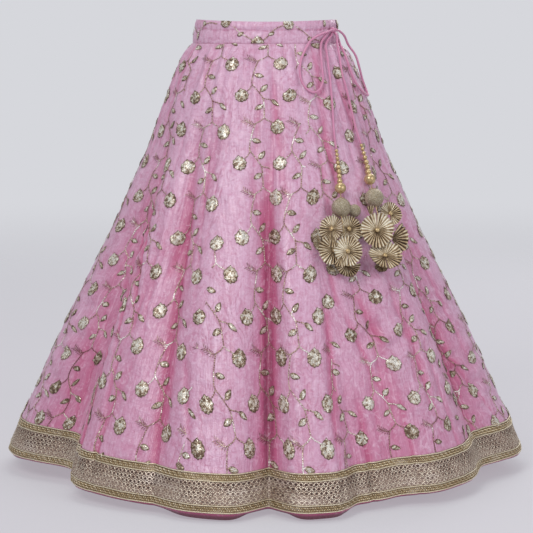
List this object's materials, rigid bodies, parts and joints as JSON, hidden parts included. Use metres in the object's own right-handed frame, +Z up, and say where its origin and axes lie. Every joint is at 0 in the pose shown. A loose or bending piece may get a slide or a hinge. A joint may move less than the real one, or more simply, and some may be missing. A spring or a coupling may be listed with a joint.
{
  "type": "lehenga skirt",
  "caption": "Long flared lehenga skirt of embroidered silk, with a drawstring waistband tied in a bow, two tassels of beads and pleated fans, and a wide metallic hem border",
  "frame": {"origin": "centre of the waist opening, in the plane of the waistband's top edge at the sides", "axes": "+Z up, -Y is the front, +X is the wearer's left, where the drawstring comes out"},
  "size_m": [1.1529, 1.0832, 0.9851],
  "materials": {
    "silk": "soft satin silk with sequin and metal thread embroidery",
    "gold_trim": "antique gold metallic braid and net",
    "cord": "satin piping",
    "bead": "metallised gold",
    "glitter": "gold glitter",
    "tissue": "pleated metallic tissue"
  },
  "bodies": {
    "root": {"panel_01": "silk", "panel_02": "silk", "panel_03": "silk", "panel_04": "silk", "panel_05": "silk", "panel_06": "silk", "panel_07": "silk", "panel_08": "silk", "panel_09": "silk", "panel_10": "silk", "waistband_front": "silk", "waistband_back": "silk", "border_upper_braid": "gold_trim", "border_net": "gold_trim", "border_lower_braid": "gold_trim", "loop_left": "cord", "loop_right": "cord", "tail_left": "cord", "tail_right": "cord", "knot": "cord", "string_left": "cord", "string_right": "cord", "bead_left_1": "bead", "bead_left_2": "bead", "bead_left_3": "bead", "bead_left_4": "bead", "bead_left_5": "bead", "bead_left_6": "bead", "bead_left_7": "bead", "bead_left_8": "bead", "bead_right_1": "bead", "bead_right_2": "bead", "bead_right_3": "bead", "bead_right_4": "bead", "bead_right_5": "bead", "bead_right_6": "bead", "bead_right_7": "bead", "large_bead_left": "bead", "large_bead_right": "bead", "cap_left": "bead", "cap_right": "bead", "glitter_ball_left": "glitter", "glitter_ball_right": "glitter", "spare_ball": "glitter", "fan_left_1": "tissue", "fan_left_2": "tissue", "fan_left_3": "tissue", "fan_left_4": "tissue", "fan_left_5": "tissue", "fan_left_6": "tissue", "fan_left_7": "tissue", "fan_left_8": "tissue", "fan_left_9": "tissue", "fan_left_10": "tissue", "fan_right_1": "tissue", "fan_right_2": "tissue", "fan_right_3": "tissue", "fan_right_4": "tissue", "fan_right_5": "tissue", "fan_right_6": "tissue"}
  },
  "joints": []
}
